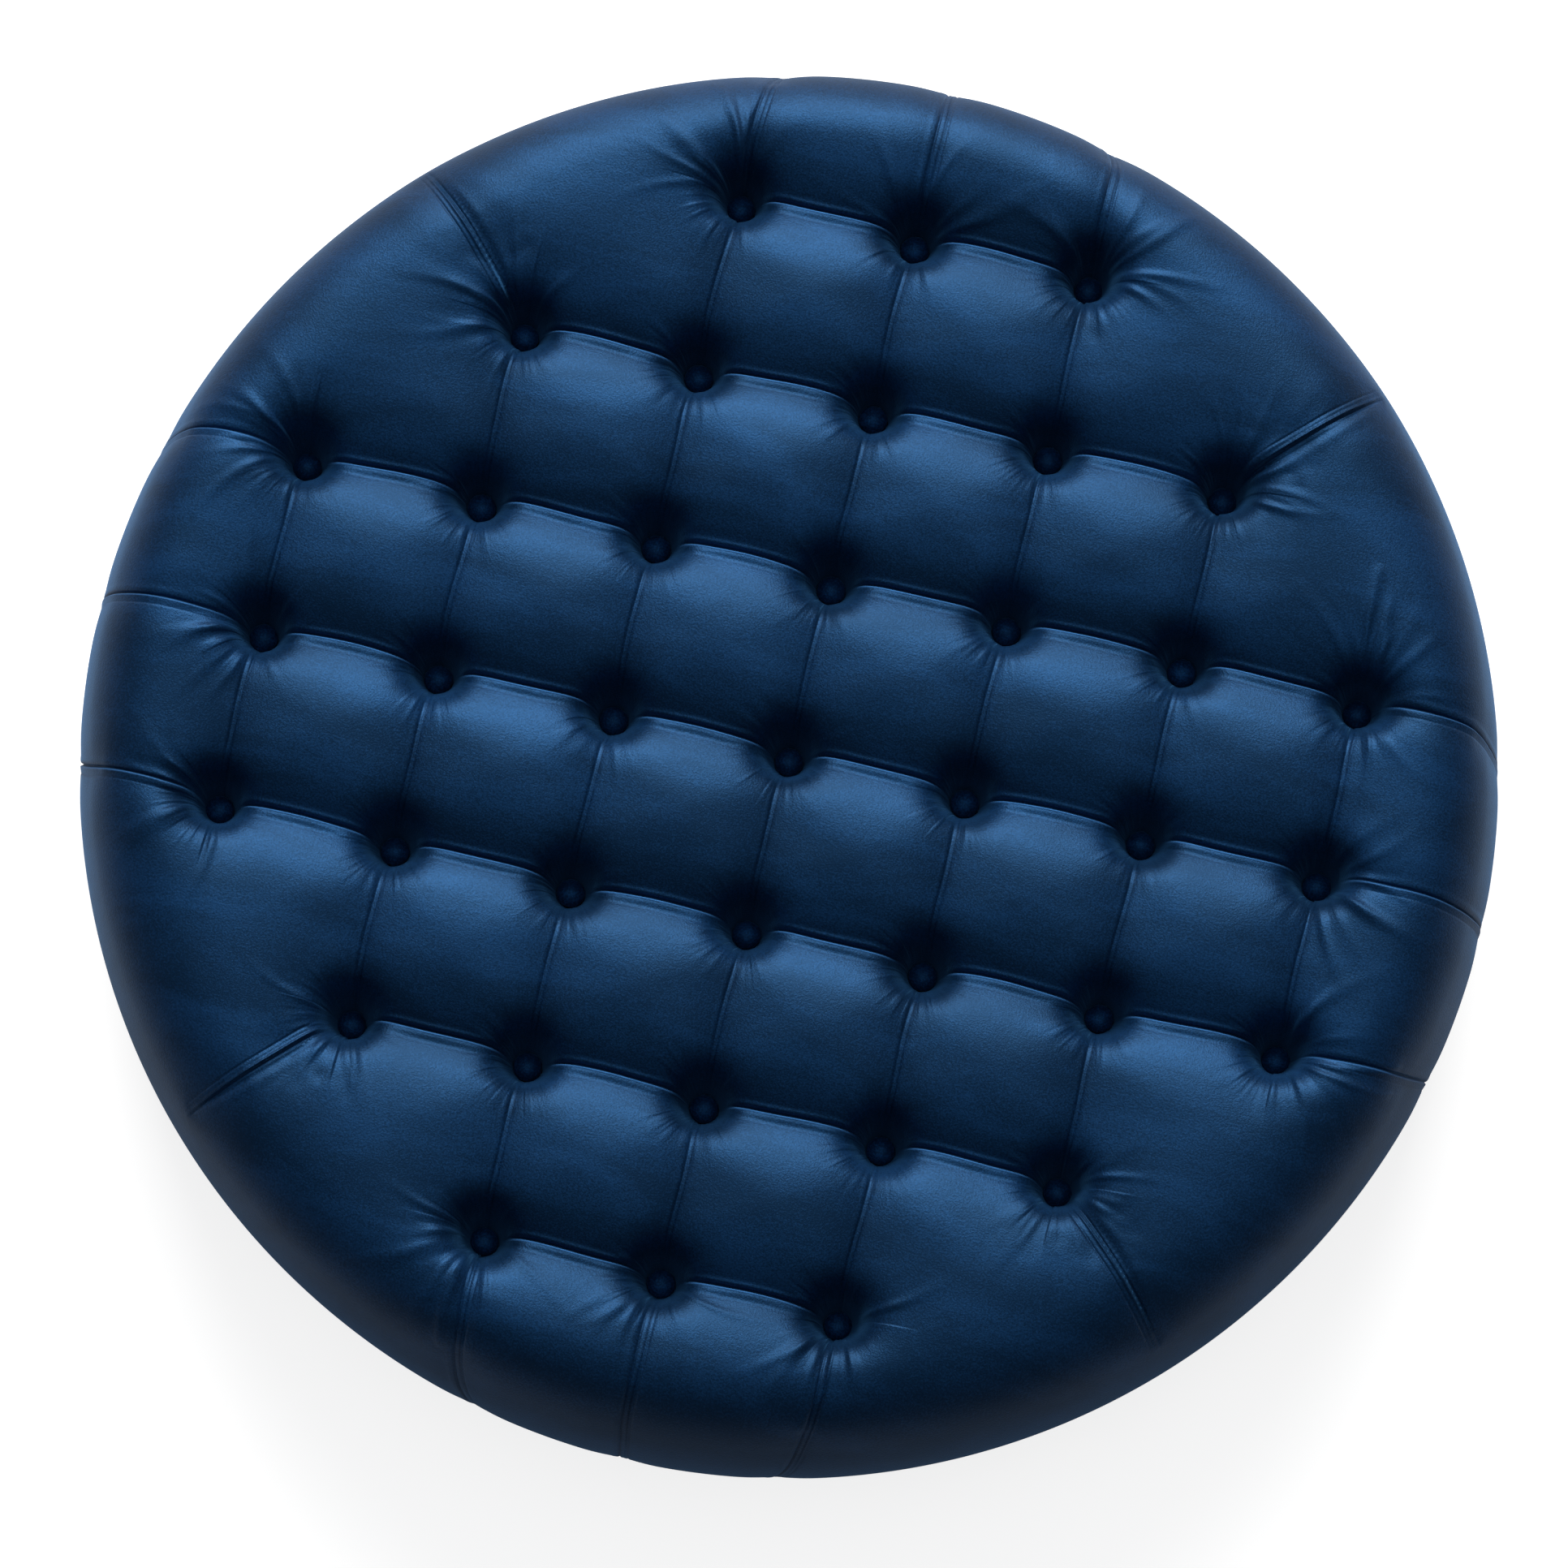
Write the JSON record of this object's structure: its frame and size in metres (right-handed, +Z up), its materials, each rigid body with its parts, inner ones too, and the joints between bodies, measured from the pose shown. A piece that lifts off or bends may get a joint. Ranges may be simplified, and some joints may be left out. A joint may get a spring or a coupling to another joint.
{
  "type": "round tufted seat cushion",
  "caption": "Round deep-buttoned velvet seat cushion on a drilled plywood board, with threaded inserts underneath for a base or legs.",
  "frame": {"origin": "centre of the flat underside", "axes": "+Z up through the crown, +X along the rows of buttons"},
  "size_m": [0.9136, 0.9136, 0.18],
  "materials": {
    "velvet": "matte",
    "button_velvet": "matte",
    "plywood": "matte",
    "firm_foam": "matte",
    "edge_foam": "matte",
    "soft_foam": "matte",
    "wadding": "matte",
    "dust_cloth": "matte",
    "staple_wire": "satin",
    "zinc_steel": "satin",
    "button_metal": "satin",
    "loop_wire": "satin",
    "twine": "satin"
  },
  "bodies": {
    "root": {"base_board": "plywood", "button_backs": "button_metal", "button_loops": "loop_wire", "button_r1_c1": "button_velvet", "button_r1_c2": "button_velvet", "button_r1_c3": "button_velvet", "button_r2_c1": "button_velvet", "button_r2_c2": "button_velvet", "button_r2_c3": "button_velvet", "button_r2_c4": "button_velvet", "button_r2_c5": "button_velvet", "button_r3_c1": "button_velvet", "button_r3_c2": "button_velvet", "button_r3_c3": "button_velvet", "button_r3_c4": "button_velvet", "button_r3_c5": "button_velvet", "button_r3_c6": "button_velvet", "button_r3_c7": "button_velvet", "button_r4_c1": "button_velvet", "button_r4_c2": "button_velvet", "button_r4_c3": "button_velvet", "button_r4_c4": "button_velvet", "button_r4_c5": "button_velvet", "button_r4_c6": "button_velvet", "button_r4_c7": "button_velvet", "button_r5_c1": "button_velvet", "button_r5_c2": "button_velvet", "button_r5_c3": "button_velvet", "button_r5_c4": "button_velvet", "button_r5_c5": "button_velvet", "button_r5_c6": "button_velvet", "button_r5_c7": "button_velvet", "button_r6_c1": "button_velvet", "button_r6_c2": "button_velvet", "button_r6_c3": "button_velvet", "button_r6_c4": "button_velvet", "button_r6_c5": "button_velvet", "button_r7_c1": "button_velvet", "button_r7_c2": "button_velvet", "button_r7_c3": "button_velvet", "button_shells": "button_metal", "button_twines": "twine", "cover_staples": "staple_wire", "dust_cover": "dust_cloth", "dust_cover_staples": "staple_wire", "edge_band": "edge_foam", "foam_slab": "firm_foam", "foam_topper": "soft_foam", "tee_nuts": "zinc_steel", "twine_staples": "staple_wire", "velvet_cover": "velvet", "wadding": "wadding"}
  },
  "joints": []
}
